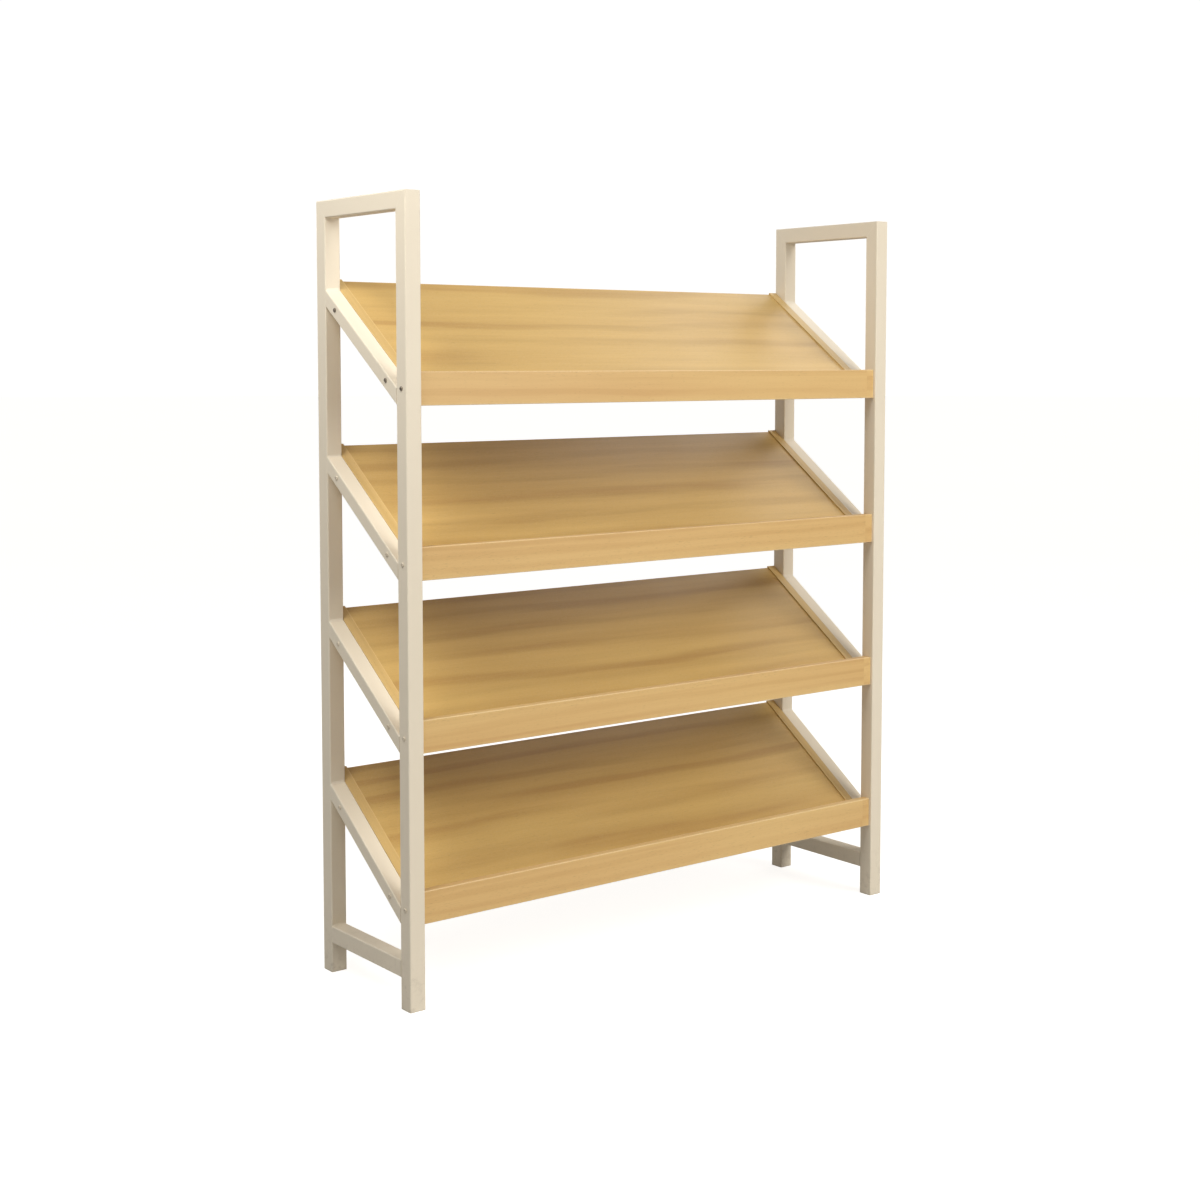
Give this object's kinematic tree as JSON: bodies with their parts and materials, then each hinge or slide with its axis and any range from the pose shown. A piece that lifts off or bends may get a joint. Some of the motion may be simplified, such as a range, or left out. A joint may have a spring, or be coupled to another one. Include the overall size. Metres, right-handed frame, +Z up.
{
  "type": "newspaper rack",
  "caption": "Free-standing newspaper and magazine rack: square-tube side frames carrying sloped wooden display shelves, each with an upright front lip.",
  "frame": {"origin": "on the floor, at the middle of the rack's width and depth", "axes": "+Z up, +X to the right seen from the front, the front faces -Y"},
  "size_m": [1.2048, 0.31, 1.45],
  "materials": {
    "cream_powder_coat": "satin powder coat",
    "board_wood": "satin lacquer, grain along the shelf",
    "lip_wood": "satin lacquer, grain along the shelf",
    "strip_wood": "satin lacquer, grain along the strip",
    "plug_ivory": "matte moulded",
    "screw_dark": "worn dark oxide",
    "screw_cream": "painted with the frame",
    "dowel_beech": "raw"
  },
  "bodies": {
    "root": {"left_front_foot_plug": "plug_ivory", "left_front_post": "cream_powder_coat", "left_rear_foot_plug": "plug_ivory", "left_rear_post": "cream_powder_coat", "left_shelf_rail_1": "cream_powder_coat", "left_shelf_rail_2": "cream_powder_coat", "left_shelf_rail_3": "cream_powder_coat", "left_shelf_rail_4": "cream_powder_coat", "left_stretcher": "cream_powder_coat", "left_top_rail": "cream_powder_coat", "right_front_foot_plug": "plug_ivory", "right_front_post": "cream_powder_coat", "right_rear_foot_plug": "plug_ivory", "right_rear_post": "cream_powder_coat", "right_shelf_rail_1": "cream_powder_coat", "right_shelf_rail_2": "cream_powder_coat", "right_shelf_rail_3": "cream_powder_coat", "right_shelf_rail_4": "cream_powder_coat", "right_stretcher": "cream_powder_coat", "right_top_rail": "cream_powder_coat", "shelf_1_board": "board_wood", "shelf_1_front_lip": "lip_wood", "shelf_1_left_end_strip": "strip_wood", "shelf_1_lip_dowels": "dowel_beech", "shelf_1_right_end_strip": "strip_wood", "shelf_1_screws": "screw_dark", "shelf_1_strip_dowels": "dowel_beech", "shelf_2_board": "board_wood", "shelf_2_front_lip": "lip_wood", "shelf_2_left_end_strip": "strip_wood", "shelf_2_lip_dowels": "dowel_beech", "shelf_2_right_end_strip": "strip_wood", "shelf_2_screws": "screw_cream", "shelf_2_strip_dowels": "dowel_beech", "shelf_3_board": "board_wood", "shelf_3_front_lip": "lip_wood", "shelf_3_left_end_strip": "strip_wood", "shelf_3_lip_dowels": "dowel_beech", "shelf_3_right_end_strip": "strip_wood", "shelf_3_screws": "screw_cream", "shelf_3_strip_dowels": "dowel_beech", "shelf_4_board": "board_wood", "shelf_4_front_lip": "lip_wood", "shelf_4_left_end_strip": "strip_wood", "shelf_4_lip_dowels": "dowel_beech", "shelf_4_right_end_strip": "strip_wood", "shelf_4_screws": "screw_cream", "shelf_4_strip_dowels": "dowel_beech"}
  },
  "joints": []
}
